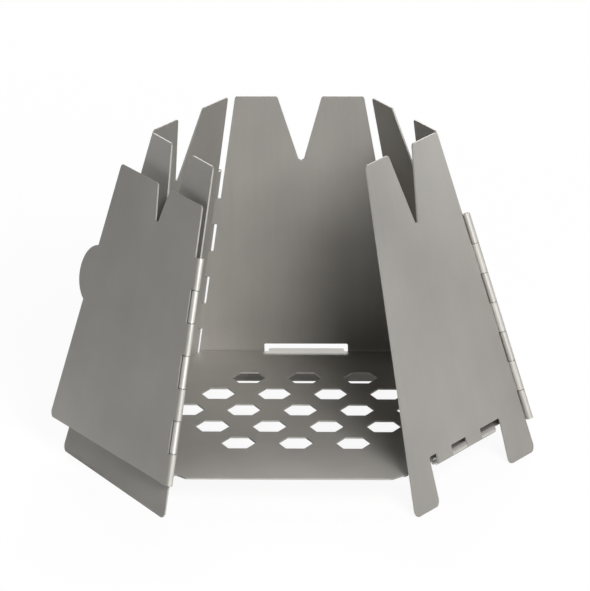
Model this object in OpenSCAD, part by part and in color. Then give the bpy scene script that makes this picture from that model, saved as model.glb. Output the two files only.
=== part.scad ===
// Folding wood stove: six hinged sheet-steel walls stand in a ring round a hinged, perforated
// base plate. Each wall leans inwards and has a notched top whose tips carry the pot.
// Millimetres. X runs right, Y runs to the back and Z runs up from the ground.

/* [Ring] */
// Height of the tips above the ground
stove_height = 101.6; // [90:0.1:120]
// Width of the ring across two opposite walls, outside, at the ground
ground_flats = 127; // [122:0.5:135]
// Width of the ring across two opposite walls, outside, at the tips
mouth_flats = 75.5; // [70:0.5:84]

/* [Sheet] */
// Thickness of the steel sheet
sheet = 0.5; // [0.4:0.05:0.6]
// Width of the V notch at the top of a wall
notch_width = 13.8; // [10:0.1:18]
// Depth of the V notch to the point where its sides would meet
notch_depth = 24.9; // [18:0.1:28]
// Radius at the bottom of the V notch
notch_radius = 1; // [0.8:0.1:2]
// Radius of the corners of the tips
corner_radius = 1.5; // [0.8:0.1:2]
// Radius of the lower corners of the walls
foot_radius = 2.2; // [1:0.1:3]
// Distance from the ring's corner line to the edge of a wall beside an inside hinge
edge_inset = 1.8; // [1.7:0.1:2.2]
// Distance from the ring's corner line to the edge of a wall beside an outside hinge
close_inset = 0.9; // [0.85:0.05:1.5]
// Distance from the ring's corner line to the free edge of the front right wall
latch_inset = 2.3; // [0.9:0.05:3]

/* [Wall hinges] */
// Outer diameter of a rolled knuckle
knuckle_diameter = 2.2; // [2:0.05:2.4]
// Knuckles on one wall hinge, both sheets together
knuckle_count = 7; // [5:2:9]
// Height of the lowest knuckle above the ground
hinge_bottom = 9.9; // [9:0.1:12]
// Height of the top of the highest knuckle above the ground
hinge_top = 75.5; // [65:0.5:78]
// Gap between neighbouring knuckles
knuckle_gap = 0.25; // [0.2:0.05:0.4]
// Gap at the seam where a knuckle's rolled end meets its own sheet
seam_gap = 0.2; // [0.15:0.05:0.3]
// Radial clearance between a hinge pin and the knuckles that turn on it
turning_clearance = 0.05; // [0.03:0.01:0.08]
// Radial clearance between a hinge pin and the knuckles that hold it
holding_clearance = 0.01; // [0.005:0.005:0.02]
// How far a pin's end stays inside the end knuckle
pin_recess = 0.3; // [0:0.1:1]

/* [Door] */
// Angle by which the door is turned back from the closed ring
door_open = 234; // [0:1:236]
// Height of the door's lower edge above the ground
door_bottom = 9.9; // [9:0.1:12]
// How much lower the door's tips are than those of the other walls
door_drop = 11.4; // [5:0.1:15]
// How far the door's free edge passes the ring's corner line at the door's lower edge
overhang_low = 0.3; // [0:0.1:1.5]
// How far the door's free edge passes the ring's corner line at the door's upper edge
overhang_high = 2.5; // [1:0.1:3]
// Radius of the round finger tab on the door's free edge
tab_radius = 9.4; // [7:0.1:11]
// How far the finger tab stands out from the free edge
tab_reach = 6.4; // [4:0.1:7]
// Height of the finger tab's middle above the ground
tab_height = 55.6; // [45:0.1:62]

/* [Back wall] */
// Clearance beside the base plate's tab in the slot, on each side
slot_side_clearance = 1.3; // [1.2:0.1:3]
// Gap between the tab and the lower edge of the slot that it sits on
slot_seat_gap = 0.7; // [0.65:0.05:1]
// Headroom above the tab, so that the base plate can tilt as it leaves the slot
slot_headroom = 2.6; // [2.4:0.1:4]
// Corner radius of the slot
slot_radius = 0.5; // [0.3:0.1:0.8]

/* [Front right wall] */
// Width of the opening between the two feet
foot_gap = 41; // [40:0.5:42]
// Height of the opening between the two feet
foot_height = 14.5; // [14.3:0.1:16]

/* [Base plate] */
// Height of the base plate's upper face above the ground
base_top = 11.2; // [11:0.05:11.4]
// Gap between the base plate and the side walls
base_gap = 1.6; // [1.2:0.1:2.5]
// Gap between the base plate and the back wall
back_gap = 0.4; // [0.35:0.05:0.8]
// Distance from the ring's centre to the base plate's front lip
lip_distance = 57.2; // [55:0.1:58]
// Width of the front lip
lip_width = 61.4; // [55:0.1:63]
// How far the front lip stands out from the plate's shoulders
lip_reach = 2.8; // [2:0.1:3.5]
// Length cut off a corner of the base plate beside a hinge, measured towards the centre
corner_cut = 2.4; // [2.2:0.1:4]
// Width of the tab that enters the back wall's slot
tongue_width = 23.8; // [20:0.1:26]
// How far the tab passes the inner face of the back wall
tongue_reach = 2.4; // [1.5:0.1:2.6]
// Width of an air hole from corner to corner
hole_width = 10.8; // [9:0.1:12]
// Height of an air hole from flat to flat
hole_height = 10.3; // [8:0.1:11]
// Length of an air hole's flat side
hole_flat = 5.6; // [4.5:0.1:6.5]
// Distance between neighbouring holes in a row
hole_pitch = 17.4; // [16.5:0.1:18]
// Distance between two rows of holes
row_pitch = 15; // [14:0.05:15.3]
// Distance from the ring's centre back to the middle hole
hole_shift = 4; // [2:0.1:4.5]
// Distance from the ring's centre to the right to the middle hole
hole_offset = 0.65; // [0:0.05:1]

/* [Base hinge] */
// Length of one knuckle of the base hinge, with its gap
base_knuckle_pitch = 8.4; // [8:0.05:9]
// Distance from the wall's middle to the far end of the last base knuckle
base_hinge_end = 17.2; // [16.5:0.1:18.5]
// How far the base hinge's pin stands out at its free end
base_pin_stub = 1.6; // [1:0.1:1.7]

/* [Hidden] */
$fn = 48;

// Where the ring's centre stands, measured from the middle of the overall footprint
ring_centre = [1.55, -0.45];

// Lean of the walls and the size of the ring on the middle plane of the sheet
lean = atan((ground_flats - mouth_flats) / 2 / stove_height);
slope = stove_height / cos(lean);
ground_apothem = ground_flats / 2 - sheet / 2 / cos(lean);
ground_side = ground_apothem * 2 * tan(30);
mouth_side = (mouth_flats / 2 - sheet / 2 / cos(lean)) * 2 * tan(30);
edge_lean = atan((ground_side - mouth_side) / 2 / slope);
half_corner = 90 - acos(pow(cos(lean), 2) * cos(60) + pow(sin(lean), 2)) / 2;

// Rolled knuckles
knuckle_radius = knuckle_diameter / 2;
pin_radius = knuckle_radius - sheet - turning_clearance;
axis_rise = knuckle_radius - sheet / 2;
axis_shift = axis_rise / tan(half_corner);
hinge_start = hinge_bottom / cos(lean) / cos(edge_lean);
hinge_end = hinge_top / cos(lean) / cos(edge_lean);
knuckle_pitch = (hinge_end - hinge_start + knuckle_gap) / knuckle_count;
knuckle_length = knuckle_pitch - knuckle_gap;
overlap = 0.6;
base_relief = 2.2;
inner_radius = 0.8;
turning_bore = pin_radius + turning_clearance;
holding_bore = pin_radius + holding_clearance;

// Spare sheet beyond a wall's level upper and lower edges, which the level cut takes off
level_trim = sheet * tan(lean);

// Direction of each wall, measured from X, and the side of a wall that a hinge is on
back = 90;
rear_left = 150;
front_left = 210;
front = 270;
front_right = 330;
rear_right = 30;
clockwise = -1;
anticlockwise = 1;
outside = 1;
inside = -1;

// Base plate and its hinge
base_axis_height = base_top - sheet + knuckle_radius;
base_axis_up = (base_axis_height + axis_rise * sin(lean)) / cos(lean);
base_axis_out = ground_apothem - base_axis_up * sin(lean) - axis_rise * cos(lean);
inner_apothem = ground_flats / 2 - base_top * tan(lean) - sheet / cos(lean);
base_knuckle_length = base_knuckle_pitch - knuckle_gap;
base_hinge_start = base_hinge_end - 4 * base_knuckle_pitch + knuckle_gap;
slot_width = tongue_width + 2 * slot_side_clearance;
slot_bottom = base_top - sheet - slot_seat_gap;
slot_top = base_top + slot_headroom;
hole_rows = [3, 4, 5, 4, 3];

// How much larger than its corner's radius an arc is, so that it crosses the straight edges
arc_margin = 0.002;

steel = [0.55, 0.53, 0.50];
bright_steel = [0.72, 0.71, 0.69];

// Half the width of a wall's middle plane at a distance up the slope
function half_width(up) = (ground_side + (mouth_side - ground_side) * up / slope) / 2;

// Distance up the slope of a height above the ground
function up_slope(height) = height / cos(lean);

// The corner before or after corner i of an outline
function before(outline, i) = outline[(i + len(outline) - 1) % len(outline)];
function after(outline, i) = outline[(i + 1) % len(outline)];

function point(corner) = [corner[0], corner[1]];
function unit(vector) = vector / norm(vector);
function turn(a, b) = a[0] * b[1] - a[1] * b[0];
function to_before(outline, i) = unit(point(before(outline, i)) - point(outline[i]));
function to_after(outline, i) = unit(point(after(outline, i)) - point(outline[i]));
function half_angle(outline, i) = acos(to_before(outline, i) * to_after(outline, i)) / 2;

// Distance from a corner to the point where its arc touches the edge
function setback(outline, i) = outline[i][2] / tan(half_angle(outline, i));

// Centre of the arc at a corner
function arc_centre(outline, i) = point(outline[i])
    + unit(to_before(outline, i) + to_after(outline, i)) * outline[i][2] / sin(half_angle(outline, i));

// True where the outline, drawn anticlockwise, turns to the left
function is_convex(outline, i) = turn(-to_before(outline, i), to_after(outline, i)) > 0;

// Fills an outline of [x, y, radius] corners, drawn anticlockwise, with true arcs
module rounded(outline) {
    difference() {
        union() {
            polygon([
                for (i = [0 : len(outline) - 1])
                    for (direction = [to_before(outline, i), to_after(outline, i)])
                        point(outline[i]) + direction * setback(outline, i)
            ]);
            for (i = [0 : len(outline) - 1])
                if (is_convex(outline, i))
                    translate(arc_centre(outline, i)) circle(outline[i][2] + arc_margin);
        }
        for (i = [0 : len(outline) - 1])
            if (!is_convex(outline, i))
                translate(arc_centre(outline, i)) circle(outline[i][2] + arc_margin);
    }
}

// Moves children from a wall's own frame into the ring: X out of the wall, Y along it
// anticlockwise and Z up its slope
module on_wall(direction) {
    translate([ring_centre[0], ring_centre[1], 0])
        rotate([0, 0, direction])
            translate([ground_apothem, 0, 0])
                rotate([0, -lean, 0])
                    children();
}

// Moves children from a hinge's frame, with Z along the ring's corner line, to a wall's frame
module at_corner(side) {
    translate([0, side * ground_side / 2, 0])
        rotate([side * edge_lean, 0, 0])
            children();
}

// Turns children of the wall's frame about the hinge on one of its sides
module turned_about(side, face, angle) {
    axis = [face * axis_rise, side * face * axis_shift, 0];
    at_corner(side)
        translate(axis)
            rotate([0, 0, angle])
                translate(-axis)
                    rotate([-side * edge_lean, 0, 0])
                        translate([0, -side * ground_side / 2, 0])
                            children();
}

// A flat sheet in the wall's frame, drawn by its children across the wall and up its slope.
// Its lower and upper edges are cut level, so that feet and tips are flat.
module wall_sheet(low, high) {
    depth = ground_flats / 2;
    intersection() {
        rotate([90, 0, 90])
            translate([0, 0, -sheet / 2])
                linear_extrude(sheet)
                    children();
        rotate([0, lean, 0])
            translate([-depth, -ground_side, low])
                cube([2 * depth, 2 * ground_side, high - low]);
    }
}

// Cross-section of a rolled knuckle: X out of the sheet, Y away from the sheet's body.
// The axis is at the origin, and the sheet leaves it towards -Y.
module knuckle_section(bore, reach) {
    difference() {
        union() {
            circle(knuckle_radius);
            translate([-knuckle_radius, -reach]) square([sheet, reach]);
        }
        circle(bore);
        translate([sheet - knuckle_radius, -knuckle_radius - overlap])
            square([seam_gap, knuckle_radius + overlap]);
    }
}

// The knuckles of one wall at one of its corners. The first knuckle is 0 or 1, and every
// second one after it belongs to the same wall.
module wall_knuckles(side, face, first, bore) {
    reach = edge_inset + overlap + face * axis_shift;
    at_corner(side)
        for (k = [first : 2 : knuckle_count - 1])
            translate([face * axis_rise, side * face * axis_shift, hinge_start + k * knuckle_pitch])
                linear_extrude(knuckle_length)
                    facing(side, face)
                        knuckle_section(bore, reach);
}

// Turns a knuckle's cross-section to the hinge's side and to the face that it curls to
module facing(side, face) {
    mirror([0, side < 0 ? 1 : 0, 0])
        mirror([face < 0 ? 1 : 0, 0, 0])
            children();
}

// The pin of the wall hinge at one corner of a wall
module wall_pin(side, face) {
    at_corner(side)
        translate([face * axis_rise, side * face * axis_shift, hinge_start + pin_recess])
            cylinder(r = pin_radius, h = hinge_end - hinge_start - 2 * pin_recess);
}

// An edge's distance from the corner line at its lower and its upper end, where both are the same
function even(inset) = [inset, inset];

// Corners of a wall's outline, anticlockwise from the lower edge, with the corners of any
// opening in that edge. Each side edge has its distances from the corner line, as in even().
function wall_outline(low, high, clockwise_inset, anticlockwise_inset, opening = []) = let(
    bottom = up_slope(low) - level_trim,
    top = up_slope(high) + level_trim,
    notch_bottom = slope - up_slope(notch_depth),
    notch_half = notch_width / 2 * (top - notch_bottom) / (slope - notch_bottom)
) concat(
    [[-half_width(bottom) + clockwise_inset[0], bottom, foot_radius]],
    opening,
    [
        [half_width(bottom) - anticlockwise_inset[0], bottom, foot_radius],
        [half_width(top) - anticlockwise_inset[1], top, corner_radius],
        [notch_half, top, corner_radius],
        [0, notch_bottom, notch_radius],
        [-notch_half, top, corner_radius],
        [-half_width(top) + clockwise_inset[1], top, corner_radius]
    ]
);

// The slot in the back wall, in the plane of its sheet
function slot_outline() = [
    for (corner = [[-1, slot_bottom], [1, slot_bottom], [1, slot_top], [-1, slot_top]])
        [corner[0] * slot_width / 2, up_slope(corner[1]), slot_radius]
];

module back_wall() {
    color(steel)
        on_wall(back) {
            wall_sheet(0, stove_height)
                difference() {
                    rounded(wall_outline(0, stove_height, even(edge_inset), [close_inset, edge_inset]));
                    rounded(slot_outline());
                }
            wall_knuckles(anticlockwise, outside, 1, holding_bore);
            wall_knuckles(clockwise, inside, 0, holding_bore);
        }
}

module rear_left_wall() {
    color(steel)
        on_wall(rear_left) {
            wall_sheet(hinge_bottom, stove_height)
                rounded(wall_outline(hinge_bottom, stove_height, even(close_inset), even(edge_inset)));
            wall_knuckles(clockwise, outside, 0, turning_bore);
            wall_knuckles(anticlockwise, inside, 0, holding_bore);
        }
}

module front_left_wall() {
    color(steel)
        on_wall(front_left) {
            wall_sheet(0, stove_height)
                rounded(wall_outline(0, stove_height, even(edge_inset), even(close_inset)));
            wall_knuckles(clockwise, inside, 1, turning_bore);
            wall_knuckles(anticlockwise, outside, 1, turning_bore);
        }
}

module door() {
    top = stove_height - door_drop;
    middle = up_slope(tab_height);
    free_edge = [-overhang_low, -overhang_high];
    tab_centre = half_width(middle) + (overhang_low + overhang_high) / 2 + tab_reach - tab_radius;
    color(steel)
        on_wall(front)
            turned_about(clockwise, outside, -door_open) {
                wall_sheet(door_bottom, top) {
                    rounded(wall_outline(door_bottom, top, even(close_inset), free_edge));
                    translate([tab_centre, middle]) circle(tab_radius);
                }
                wall_knuckles(clockwise, outside, 0, holding_bore);
            }
}

module rear_right_wall() {
    color(steel)
        on_wall(rear_right) {
            wall_sheet(hinge_bottom, stove_height)
                rounded(wall_outline(hinge_bottom, stove_height, even(close_inset), even(edge_inset)));
            wall_knuckles(anticlockwise, inside, 1, turning_bore);
            wall_knuckles(clockwise, outside, 0, holding_bore);
        }
}

// The opening between the two feet, in the plane of the sheet
function foot_opening() = [
    for (corner = [[-1, 0, foot_radius], [-1, 1, inner_radius], [1, 1, inner_radius], [1, 0, foot_radius]])
        [corner[0] * foot_gap / 2, corner[1] > 0 ? up_slope(foot_height) : -level_trim, corner[2]]
];

module front_right_wall() {
    color(steel)
        on_wall(front_right) {
            wall_sheet(0, stove_height)
                rounded(wall_outline(
                    0, stove_height, even(latch_inset), even(close_inset), foot_opening()
                ));
            wall_knuckles(anticlockwise, outside, 1, turning_bore);
            translate([-axis_rise, 0, base_axis_up])
                rotate([90, 180, 0])
                    mirror([0, 0, 1])
                        base_knuckles(0, up_slope(foot_height) - base_axis_up + overlap, turning_bore);
        }
}

// Two of the four knuckles of the base hinge, along Z, in the frame of a knuckle's section
module base_knuckles(first, reach, bore) {
    for (k = [first, first + 2])
        translate([0, 0, base_hinge_start + k * base_knuckle_pitch])
            linear_extrude(base_knuckle_length)
                knuckle_section(bore, reach);
}

// Moves children to the middle of the base hinge: X out of the ring, Y along the hinge
module at_base_hinge() {
    translate([ring_centre[0], ring_centre[1], base_axis_height])
        rotate([0, 0, front_right])
            translate([base_axis_out, 0, 0])
                children();
}

// Point where two sides meet, each given by its direction and its distance from the centre
function meet(a, b) = [
    (a[1] * sin(b[0]) - b[1] * sin(a[0])) / sin(b[0] - a[0]),
    (b[1] * cos(a[0]) - a[1] * cos(b[0])) / sin(b[0] - a[0])
];

// Side that cuts the corner between two sides square to the line from the centre
function cut(a, b) = [(a[0] + b[0]) / 2, norm(meet(a, b)) - corner_cut];

// Outline of the base plate without its lip and tab
function base_outline() = let(
    right = [rear_right, inner_apothem - base_gap],
    rear = [back, inner_apothem - back_gap],
    left = [rear_left, inner_apothem - base_gap],
    near_left = [front_left, inner_apothem - base_gap],
    shoulder = [front, lip_distance - lip_reach],
    hinged = [front_right, base_axis_out - base_relief],
    next_right = [rear_right + 360, inner_apothem - base_gap],
    sides = [
        right, cut(right, rear), rear, left, cut(left, near_left), near_left,
        shoulder, hinged, cut(hinged, next_right)
    ]
) [
    for (i = [0 : len(sides) - 1])
        concat(meet(sides[i], sides[(i + 1) % len(sides)]), [inner_radius])
];

// The lip along the front edge, with its cut corners
module front_lip() {
    wide = lip_width / 2 + lip_reach;
    polygon([
        [-wide, -lip_distance + lip_reach + overlap],
        [-wide, -lip_distance + lip_reach],
        [-lip_width / 2, -lip_distance],
        [lip_width / 2, -lip_distance],
        [wide, -lip_distance + lip_reach],
        [wide, -lip_distance + lip_reach + overlap]
    ]);
}

// The tab that enters the back wall's slot
module tongue() {
    root = inner_apothem - back_gap - 2;
    end = inner_apothem + tongue_reach;
    rounded([
        [-tongue_width / 2, root, inner_radius],
        [tongue_width / 2, root, inner_radius],
        [tongue_width / 2, end, inner_radius],
        [-tongue_width / 2, end, inner_radius]
    ]);
}

// One air hole, a six-sided hole with a corner at the left and the right
module air_hole() {
    polygon([
        [hole_width / 2, 0], [hole_flat / 2, hole_height / 2], [-hole_flat / 2, hole_height / 2],
        [-hole_width / 2, 0], [-hole_flat / 2, -hole_height / 2], [hole_flat / 2, -hole_height / 2]
    ]);
}

module air_holes() {
    middle_row = (len(hole_rows) - 1) / 2;
    for (row = [0 : len(hole_rows) - 1])
        for (i = [0 : hole_rows[row] - 1])
            translate([
                hole_offset + (i - (hole_rows[row] - 1) / 2) * hole_pitch,
                hole_shift + (row - middle_row) * row_pitch
            ])
                air_hole();
}

module base_plate() {
    color(steel) {
        translate([ring_centre[0], ring_centre[1], base_top - sheet])
            linear_extrude(sheet)
                difference() {
                    union() {
                        rounded(base_outline());
                        front_lip();
                        tongue();
                    }
                    air_holes();
                }
        at_base_hinge()
            rotate([0, -90, -90])
                base_knuckles(1, base_relief + overlap, holding_bore);
    }
}

module back_left_pin() {
    color(bright_steel) on_wall(back) wall_pin(anticlockwise, outside);
}

module left_pin() {
    color(bright_steel) on_wall(rear_left) wall_pin(anticlockwise, inside);
}

module door_pin() {
    color(bright_steel) on_wall(front_left) wall_pin(anticlockwise, outside);
}

module back_right_pin() {
    color(bright_steel) on_wall(back) wall_pin(clockwise, inside);
}

module right_pin() {
    color(bright_steel) on_wall(front_right) wall_pin(anticlockwise, outside);
}

module base_pin() {
    color(bright_steel)
        at_base_hinge()
            rotate([-90, 0, 0])
                translate([0, 0, base_hinge_start - base_pin_stub])
                    cylinder(r = pin_radius, h = base_hinge_end - base_hinge_start + base_pin_stub);
}

back_wall();
rear_left_wall();
front_left_wall();
door();
rear_right_wall();
front_right_wall();
base_plate();
back_left_pin();
left_pin();
door_pin();
back_right_pin();
right_pin();
base_pin();
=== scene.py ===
# %% [markdown]
# # A folding wood stove in satin sheet steel
# Six hinged walls lean inwards round a hinged, perforated base plate. Their sheets, knuckles
# and pins are already in the frame at their real size. This lesson gives them the finish of
# cold-rolled stainless sheet, which is most of what makes thin metal look real: a soft,
# blurred mirror, a fine grain along the rolling direction, and rolled knuckles whose lighter tone
# is a painted highlight.

# %% Load the frame
import math

import bmesh
import bpy
from mathutils import Matrix, Vector

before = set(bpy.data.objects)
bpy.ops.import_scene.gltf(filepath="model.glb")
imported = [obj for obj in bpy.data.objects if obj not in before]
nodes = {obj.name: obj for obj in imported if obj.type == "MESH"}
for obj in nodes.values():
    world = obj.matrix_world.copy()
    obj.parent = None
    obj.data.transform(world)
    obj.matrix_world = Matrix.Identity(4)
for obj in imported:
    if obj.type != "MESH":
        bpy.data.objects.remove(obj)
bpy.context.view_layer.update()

# %% [markdown]
# ## Which way each sheet faces
# The finish below needs to know what is the flat sheet and what is a rolled knuckle. A
# sheet's own direction is the one that most of its surface faces, so the areas of all its
# polygons are added up by direction, and the largest sum wins. Its middle plane lies
# halfway between the faces on both sides, and a knuckle is what stands away from it.

# %% Direction of each sheet
SHEETS = [name for name in nodes if not name.endswith("_pin")]


def main_normal(sheet):
    """The direction, as a unit vector, that most of a sheet's surface faces."""
    areas = {}
    for polygon in sheet.data.polygons:
        key = tuple(round(value, 2) + 0.0 for value in polygon.normal)
        areas[key] = areas.get(key, 0) + polygon.area
    return Vector(max(areas, key=areas.get)).normalized()


normals = {name: main_normal(nodes[name]) for name in SHEETS}
print("sheets", len(normals))

# %% Middle plane of each sheet
# A polygon counts as part of the flat sheet when its normal is this close to the sheet's own
FLAT = 0.999


def middle_plane(sheet, normal):
    """How far the sheet's middle plane lies from the origin, along its normal."""
    faces = [polygon for polygon in sheet.data.polygons if abs(polygon.normal.dot(normal)) > FLAT]
    sides = {1: [0, 0], -1: [0, 0]}
    for polygon in faces:
        side = sides[1 if polygon.normal.dot(normal) > 0 else -1]
        side[0] += polygon.center.dot(normal) * polygon.area
        side[1] += polygon.area
    return sum(moment / area for moment, area in sides.values()) / 2


planes = {name: middle_plane(nodes[name], normal) for name, normal in normals.items()}
for name, normal in normals.items():
    facing = [round(value, 2) for value in normal]
    print(name, "faces", facing, "plane at", round(planes[name], 4))

# %% [markdown]
# ## The camera
# The photograph was taken from far away with a long lens, a little above the stove and almost
# square to its open front. The distance, the two angles and the roll come from matching the
# corners of the walls. A lens shift takes up what is left, because the stove doesn't
# stand quite in the middle of the frame.

# %% Camera
IMAGE_WIDTH = 590
IMAGE_HEIGHT = 591
FOCAL_PIXELS = 5774.8
OPTICAL_CENTRE = (296.23, 309.39)
SENSOR_WIDTH = 36
NEAREST_SEEN = 0.05
FARTHEST_SEEN = 20
CAMERA_DISTANCE = 1.7594
CAMERA_ELEVATION = math.radians(18.426)
CAMERA_AZIMUTH = math.radians(2.833)
CAMERA_ROLL = math.radians(-0.755)
AIM = Vector((0.00155, -0.00045, 0.045))


def towards(azimuth, elevation):
    """The direction at these angles, in radians, to the right of the stove's front and up."""
    return Vector((
        math.sin(azimuth) * math.cos(elevation),
        -math.cos(azimuth) * math.cos(elevation),
        math.sin(elevation),
    ))


def make_camera():
    data = bpy.data.cameras.new("camera")
    data.sensor_width = SENSOR_WIDTH
    data.lens = FOCAL_PIXELS / IMAGE_HEIGHT * data.sensor_width
    data.shift_x = (IMAGE_WIDTH / 2 - OPTICAL_CENTRE[0]) / IMAGE_HEIGHT
    data.shift_y = (OPTICAL_CENTRE[1] - IMAGE_HEIGHT / 2) / IMAGE_HEIGHT
    data.clip_start = NEAREST_SEEN
    data.clip_end = FARTHEST_SEEN
    camera = bpy.data.objects.new("camera", data)
    bpy.context.scene.collection.objects.link(camera)
    back = towards(CAMERA_AZIMUTH, CAMERA_ELEVATION)
    level = Vector((0, 0, 1)).cross(back).normalized()
    upright = back.cross(level)
    right = math.cos(CAMERA_ROLL) * level + math.sin(CAMERA_ROLL) * upright
    up = -math.sin(CAMERA_ROLL) * level + math.cos(CAMERA_ROLL) * upright
    turned = Matrix((right, up, back)).transposed().to_4x4()
    camera.matrix_world = Matrix.Translation(AIM + back * CAMERA_DISTANCE) @ turned
    bpy.context.scene.camera = camera
    return camera


camera = make_camera()
print("lens", round(camera.data.lens, 1), "mm")

# %% [markdown]
# ## Helpers for materials
# A material is a small network of nodes, and so is the world. These helpers add a node and
# link its sockets by name, so that the recipes below read as a list of steps.

# %% Node helpers
# Noise bunches round its middle, so a pattern spreads out only what lies between these
PATTERN_LOW = 0.3
PATTERN_HIGH = 0.7


class Recipe:
    """The nodes of a new material or world, with short ways to add them."""

    def __init__(self, owner, output="ShaderNodeOutputMaterial"):
        self.owner = owner
        owner.use_nodes = True
        self.tree = owner.node_tree
        self.tree.nodes.clear()
        self.output = self.tree.nodes.new(output)

    def add(self, kind, settings=None, **inputs):
        """Adds a node. Inputs are numbers, colours or other nodes' sockets, by name or _number."""
        node = self.tree.nodes.new(kind)
        for key, value in (settings or {}).items():
            setattr(node, key, value)
        for key, value in inputs.items():
            name = int(key[1:]) if key[0] == "_" else key.replace("_", " ")
            if isinstance(value, bpy.types.NodeSocket):
                self.tree.links.new(value, node.inputs[name])
            else:
                node.inputs[name].default_value = value
        return node

    def math(self, operation, a, b=0.0, clamp=False):
        """One step of arithmetic, and its result's socket."""
        settings = {"operation": operation, "use_clamp": clamp}
        return self.add("ShaderNodeMath", settings, _0=a, _1=b).outputs[0]

    def noise(self, coordinates, scale, detail=3.0, roughness=0.5):
        """A cloudy pattern from 0 to 1, and its socket."""
        return self.add(
            "ShaderNodeTexNoise",
            Vector=coordinates, Scale=scale, Detail=detail, Roughness=roughness,
        ).outputs["Fac"]

    def ramp(self, factor, low, high, from_low=0.0, from_high=1.0):
        """Spreads a factor linearly over a new range, and stays inside it."""
        return self.add(
            "ShaderNodeMapRange", {"clamp": True}, Value=factor,
            From_Min=from_low, From_Max=from_high, To_Min=low, To_Max=high,
        ).outputs["Result"]

    def pattern(self, noise, low, high):
        """Spreads a noise over a new range."""
        return self.ramp(noise, low, high, PATTERN_LOW, PATTERN_HIGH)

    def finish(self, shader):
        self.tree.links.new(shader, self.output.inputs["Surface"])
        return self.owner


def colour(red, green, blue):
    """A colour given as it looks on the screen, from 0 to 255, as linear light."""
    def linear(value):
        value /= 255
        return value / 12.92 if value <= 0.04045 else ((value + 0.055) / 1.055) ** 2.4
    return (linear(red), linear(green), linear(blue), 1)


# %% [markdown]
# ## Satin stainless sheet
# Cold-rolled stainless has a blurred mirror finish. A rough shader gives the blur. It is only
# half metallic, because a fuller metal turned nearly white where it faced the main lamp in the
# views from the side. Two things keep it from looking like grey plastic: a faint cloudiness
# of the tone over a few centimetres, and a very fine grain that is stretched along the rolling
# direction. The knuckles are smoother, because rolling and rubbing polish them, and they are
# painted lighter: a painted highlight for the light that their curve catches.

# %% Tones and blur of the sheet
SHEET_TONE = colour(157, 154, 149)
# The knuckles' lighter tone is a painted highlight for the light that their curve catches
KNUCKLE_PAINTED_HIGHLIGHT = colour(184, 181, 176)
SHEET_ROUGHNESS = 0.55
KNUCKLE_ROUGHNESS = 0.46
SHEET_METALLIC = 0.5
# Distances from the middle plane at which a knuckle's painted highlight and smoother finish start
# and are complete
KNUCKLE_STARTS = 0.00035
KNUCKLE_FULL = 0.0006

# %% Clouds and grain of the sheet
CLOUD_SCALE = 38
CLOUD_DETAIL = 2.0
CLOUD_SHADES = (0.94, 1.05)
GRAIN_SCALE = 900
GRAIN_STRETCH = 0.04
GRAIN_DETAIL = 4.0
GRAIN_SHARPNESS = 0.6
GRAIN_SHADES = (-0.03, 0.03)
GRAIN_BLUR = (-0.03, 0.04)
GRAIN_STRENGTH = 0.06
GRAIN_HEIGHT = 0.0001


# %% Satin steel
def satin_steel(name, normal, plane):
    """Satin sheet steel for a sheet that faces along normal, with its middle at that plane."""
    steel = Recipe(bpy.data.materials.new(name))
    place = steel.add("ShaderNodeTexCoord").outputs["Object"]
    in_plane = steel.add(
        "ShaderNodeMapping", {"vector_type": "TEXTURE"}, Vector=place,
        Rotation=(0, -math.asin(normal.z), math.atan2(normal.y, normal.x)),
    ).outputs["Vector"]
    clouds = steel.noise(in_plane, CLOUD_SCALE, CLOUD_DETAIL)
    stretched = steel.add(
        "ShaderNodeMapping", Vector=in_plane, Scale=(1, 1, GRAIN_STRETCH),
    ).outputs["Vector"]
    grain = steel.noise(stretched, GRAIN_SCALE, GRAIN_DETAIL, GRAIN_SHARPNESS)
    along = steel.add(
        "ShaderNodeVectorMath", {"operation": "DOT_PRODUCT"}, _0=place, _1=tuple(normal),
    ).outputs["Value"]
    away = steel.math("ABSOLUTE", steel.math("SUBTRACT", along, plane))
    knuckle = steel.ramp(away, 0.0, 1.0, KNUCKLE_STARTS, KNUCKLE_FULL)
    shade = steel.math(
        "ADD", steel.pattern(clouds, *CLOUD_SHADES), steel.pattern(grain, *GRAIN_SHADES),
    )
    # Knuckles take the lighter tone, a painted highlight
    tone = steel.add(
        "ShaderNodeMix", {"data_type": "RGBA"}, _0=knuckle, _6=SHEET_TONE, _7=KNUCKLE_PAINTED_HIGHLIGHT,
    ).outputs[2]
    shaded = steel.add(
        "ShaderNodeVectorMath", {"operation": "SCALE"}, _0=tone, Scale=shade,
    ).outputs["Vector"]
    satin = steel.ramp(knuckle, SHEET_ROUGHNESS, KNUCKLE_ROUGHNESS)
    roughness = steel.math("ADD", steel.pattern(grain, *GRAIN_BLUR), satin)
    bump = steel.add(
        "ShaderNodeBump", Strength=GRAIN_STRENGTH, Distance=GRAIN_HEIGHT, Height=grain,
    ).outputs["Normal"]
    shader = steel.add(
        "ShaderNodeBsdfPrincipled",
        Base_Color=shaded, Metallic=SHEET_METALLIC, Roughness=roughness, Normal=bump,
    )
    return steel.finish(shader.outputs["BSDF"])


# %% Steel on every sheet
def paint(node_name, material):
    """Puts one material on a node of the frame."""
    slots = nodes[node_name].material_slots
    if not slots:
        nodes[node_name].data.materials.append(material)
    for slot in slots:
        slot.material = material


for name, normal in normals.items():
    paint(name, satin_steel(name + "_steel", normal, planes[name]))
print("painted", len(normals), "sheets")

# %% [markdown]
# ## Hinge pins
# The pins are drawn wire, brighter and smoother than the sheet. Only their ends and thin
# slits between the knuckles show, so a plain bright metal with a light grain is enough.

# %% Pin steel
PINS = [name for name in nodes if name.endswith("_pin")]
PIN_TONE = colour(176, 174, 170)
PIN_GRAIN_SCALE = 1500
PIN_ROUGHNESS = (0.24, 0.34)


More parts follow.
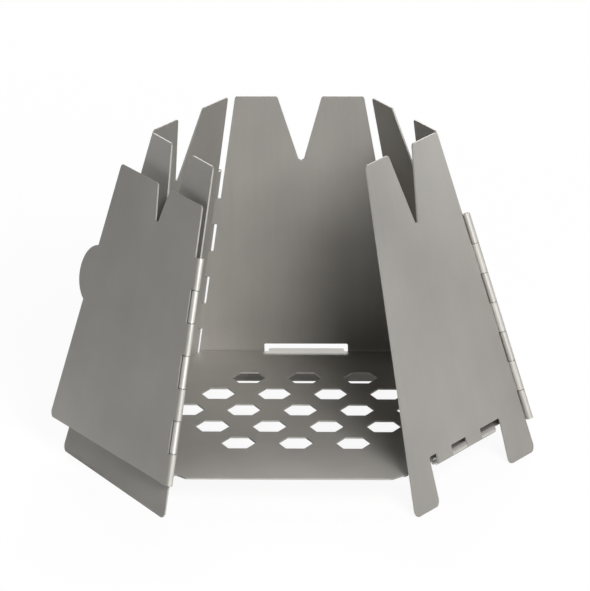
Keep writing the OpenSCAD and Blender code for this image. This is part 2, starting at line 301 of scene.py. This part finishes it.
def bright_wire():
    """Bright drawn wire."""
    wire = Recipe(bpy.data.materials.new("pin_steel"))
    place = wire.add("ShaderNodeTexCoord").outputs["Object"]
    grain = wire.noise(place, PIN_GRAIN_SCALE)
    shader = wire.add(
        "ShaderNodeBsdfPrincipled",
        Base_Color=PIN_TONE, Metallic=1.0, Roughness=wire.ramp(grain, *PIN_ROUGHNESS),
    )
    return wire.finish(shader.outputs["BSDF"])


pin_steel = bright_wire()
for pin in PINS:
    paint(pin, pin_steel)
print("painted", len(PINS), "pins")

# %% [markdown]
# ## Floor
# The photograph has a pure white ground. The floor is a large white sheet that gives its own
# white to the camera, and keeps only a breath of the stove's shadow. Reflections get a
# smaller share of that white, so that the steel under the base mirrors the shade there.

# %% Floor
FLOOR_SIZE = 6
FLOOR_SEEN = 0.93
FLOOR_MIRRORED = 0.25
FLOOR_WHITE = (0.9, 0.9, 0.9, 1)
WHITE = (1, 1, 1, 1)


def floor_white():
    """White paint that glows for the camera, and a little for reflections."""
    white = Recipe(bpy.data.materials.new("floor_white"))
    path = white.add("ShaderNodeLightPath").outputs
    seen = white.math("MULTIPLY", path["Is Camera Ray"], FLOOR_SEEN)
    other = white.math("ADD", path["Is Glossy Ray"], path["Is Transmission Ray"], clamp=True)
    mirrored = white.math("MULTIPLY", other, FLOOR_MIRRORED)
    diffuse = white.add("ShaderNodeBsdfDiffuse", Color=FLOOR_WHITE)
    glow = white.add("ShaderNodeEmission", Color=WHITE, Strength=1.0)
    mixed = white.add(
        "ShaderNodeMixShader", Fac=white.math("ADD", seen, mirrored),
        _1=diffuse.outputs["BSDF"], _2=glow.outputs["Emission"],
    )
    return white.finish(mixed.outputs["Shader"])


def make_floor():
    mesh = bpy.data.meshes.new("floor")
    shape = bmesh.new()
    bmesh.ops.create_grid(shape, x_segments=1, y_segments=1, size=FLOOR_SIZE / 2)
    shape.to_mesh(mesh)
    shape.free()
    floor = bpy.data.objects.new("floor", mesh)
    bpy.context.scene.collection.objects.link(floor)
    floor.data.materials.append(floor_white())


make_floor()
print("floor", FLOOR_SIZE, "m wide")

# %% [markdown]
# ## World
# Past the floor's edge the world shows as pure white. What it gives to the steel is something
# else: a faint even light, so that no shade turns black. Light Path tells the two apart.

# %% World
WORLD_LIGHT = 0.05
WORLD_TINT = (1, 0.995, 0.985, 1)


def make_world():
    """White for the camera, and a faint even light for everything else."""
    sky = Recipe(bpy.data.worlds.new("studio"), "ShaderNodeOutputWorld")
    path = sky.add("ShaderNodeLightPath").outputs
    light = sky.add("ShaderNodeBackground", Strength=WORLD_LIGHT, Color=WORLD_TINT)
    seen = sky.add("ShaderNodeBackground", Strength=1, Color=WHITE)
    mixed = sky.add(
        "ShaderNodeMixShader", Fac=path["Is Camera Ray"],
        _1=light.outputs["Background"], _2=seen.outputs["Background"],
    )
    bpy.context.scene.world = sky.finish(mixed.outputs["Shader"])


make_world()
print("world light", WORLD_LIGHT)

# %% [markdown]
# ## Lamps
# Where the shadows fall in the photograph tells where its one large lamp stood: in front,
# about 20 degrees to the right, and almost 30 degrees up. A weak lamp from the front and one
# from the left lift the shaded sides a little. One from behind is there for the other views.

# %% Lamps
LAMP_DISTANCE = 1.2
LAMPS = {
    "key": dict(azimuth=20.5, elevation=28, size=0.45, power=20),
    "front": dict(azimuth=6, elevation=12, size=0.5, power=0.9),
    "fill": dict(azimuth=-70, elevation=10, size=0.5, power=0.3),
    "back": dict(azimuth=180, elevation=40, size=0.6, power=9),
}


def make_lamp(name, azimuth, elevation, size, power):
    """A soft round lamp. Its azimuth is in degrees to the right of the stove's front."""
    data = bpy.data.lights.new(name, "AREA")
    data.shape = "DISK"
    data.size = size
    data.energy = power
    lamp = bpy.data.objects.new(name, data)
    bpy.context.scene.collection.objects.link(lamp)
    away = towards(math.radians(azimuth), math.radians(elevation))
    lamp.location = AIM + away * LAMP_DISTANCE
    lamp.rotation_euler = away.to_track_quat("Z", "Y").to_euler()


for name, settings in LAMPS.items():
    make_lamp(name, **settings)
print("lamps", ", ".join(LAMPS))

# %% [markdown]
# ## Colour
# The Standard view shows each tone as it is written.

# %% Colour as written
bpy.context.scene.view_settings.view_transform = "Standard"
